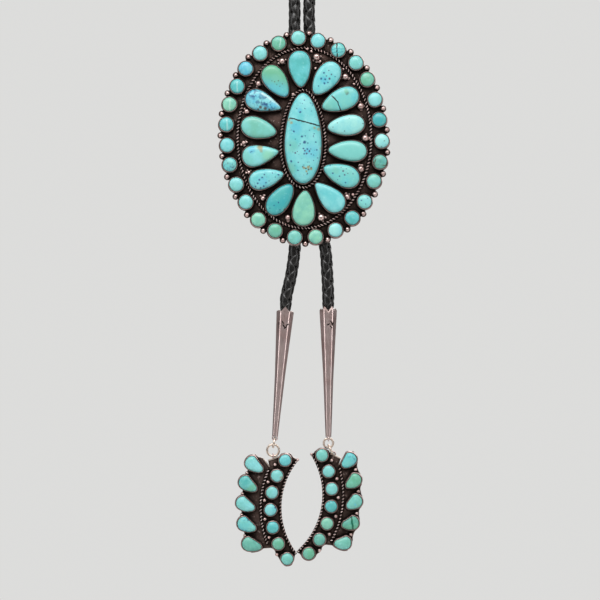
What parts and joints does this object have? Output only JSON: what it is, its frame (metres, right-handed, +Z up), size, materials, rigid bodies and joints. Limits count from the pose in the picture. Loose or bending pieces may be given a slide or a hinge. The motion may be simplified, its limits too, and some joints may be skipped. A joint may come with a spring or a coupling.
{
  "type": "bolo tie",
  "caption": "Bolo tie with a large oval turquoise cluster slide on a braided leather cord, with faceted silver tips and a pair of curved turquoise pendants.",
  "frame": {"origin": "under the cord at the nape of the neck, where the tie hangs", "axes": "+Z up along the hanging tie, -Y out of the front of the slide, +X to the viewer's right"},
  "size_m": [0.1384, 0.1517, 0.4583],
  "materials": {
    "silver": "hand-worked silver, darkened in the recesses and polished on the edges",
    "turquoise": "polished turquoise, from sky blue to green, with brown and dark veins",
    "leather": "glossy black four-strand round braid"
  },
  "bodies": {
    "cord": {"neck_cord": "leather", "left_cord_end": "leather", "right_cord_end": "leather", "left_tip": "silver", "right_tip": "silver", "left_tip_ring": "silver"},
    "slide": {"slide_setting": "silver", "cord_clip": "silver", "center_stone": "turquoise", "pear_stone_01": "turquoise", "pear_stone_02": "turquoise", "pear_stone_03": "turquoise", "pear_stone_04": "turquoise", "pear_stone_05": "turquoise", "pear_stone_06": "turquoise", "pear_stone_07": "turquoise", "pear_stone_08": "turquoise", "pear_stone_09": "turquoise", "pear_stone_10": "turquoise", "pear_stone_11": "turquoise", "pear_stone_12": "turquoise", "pear_stone_13": "turquoise", "pear_stone_14": "turquoise"},
    "left_pendant": {"left_pendant_ring": "silver", "left_pendant_setting": "silver", "left_pendant_pear_1": "turquoise", "left_pendant_pear_2": "turquoise", "left_pendant_pear_3": "turquoise", "left_pendant_pear_4": "turquoise", "left_pendant_pear_5": "turquoise", "left_pendant_round_1": "turquoise", "left_pendant_round_2": "turquoise", "left_pendant_round_3": "turquoise", "left_pendant_round_4": "turquoise", "left_pendant_round_5": "turquoise", "left_pendant_round_6": "turquoise", "left_pendant_round_7": "turquoise"},
    "right_pendant": {"right_tip_ring": "silver", "right_pendant_ring": "silver", "right_pendant_setting": "silver", "right_pendant_pear_1": "turquoise", "right_pendant_pear_2": "turquoise", "right_pendant_pear_3": "turquoise", "right_pendant_pear_4": "turquoise", "right_pendant_pear_5": "turquoise", "right_pendant_round_1": "turquoise", "right_pendant_round_2": "turquoise", "right_pendant_round_3": "turquoise", "right_pendant_round_4": "turquoise", "right_pendant_round_5": "turquoise", "right_pendant_round_6": "turquoise", "right_pendant_round_7": "turquoise"}
  },
  "joints": [
    {"name": "slide_travel", "type": "slide", "parent": "cord", "child": "slide", "axis": [0, 0, 1], "range_m": [0, 0.04]},
    {"name": "left_swing", "type": "hinge", "parent": "cord", "child": "left_pendant", "pos_m": [-0.0126, -0.14, -0.4029], "axis": [1, 0, 0], "range_deg": [-50, 50]},
    {"name": "right_swing", "type": "hinge", "parent": "cord", "child": "right_pendant", "pos_m": [0.00969, -0.14, -0.40045], "axis": [1, 0, 0], "range_deg": [-50, 50]}
  ]
}
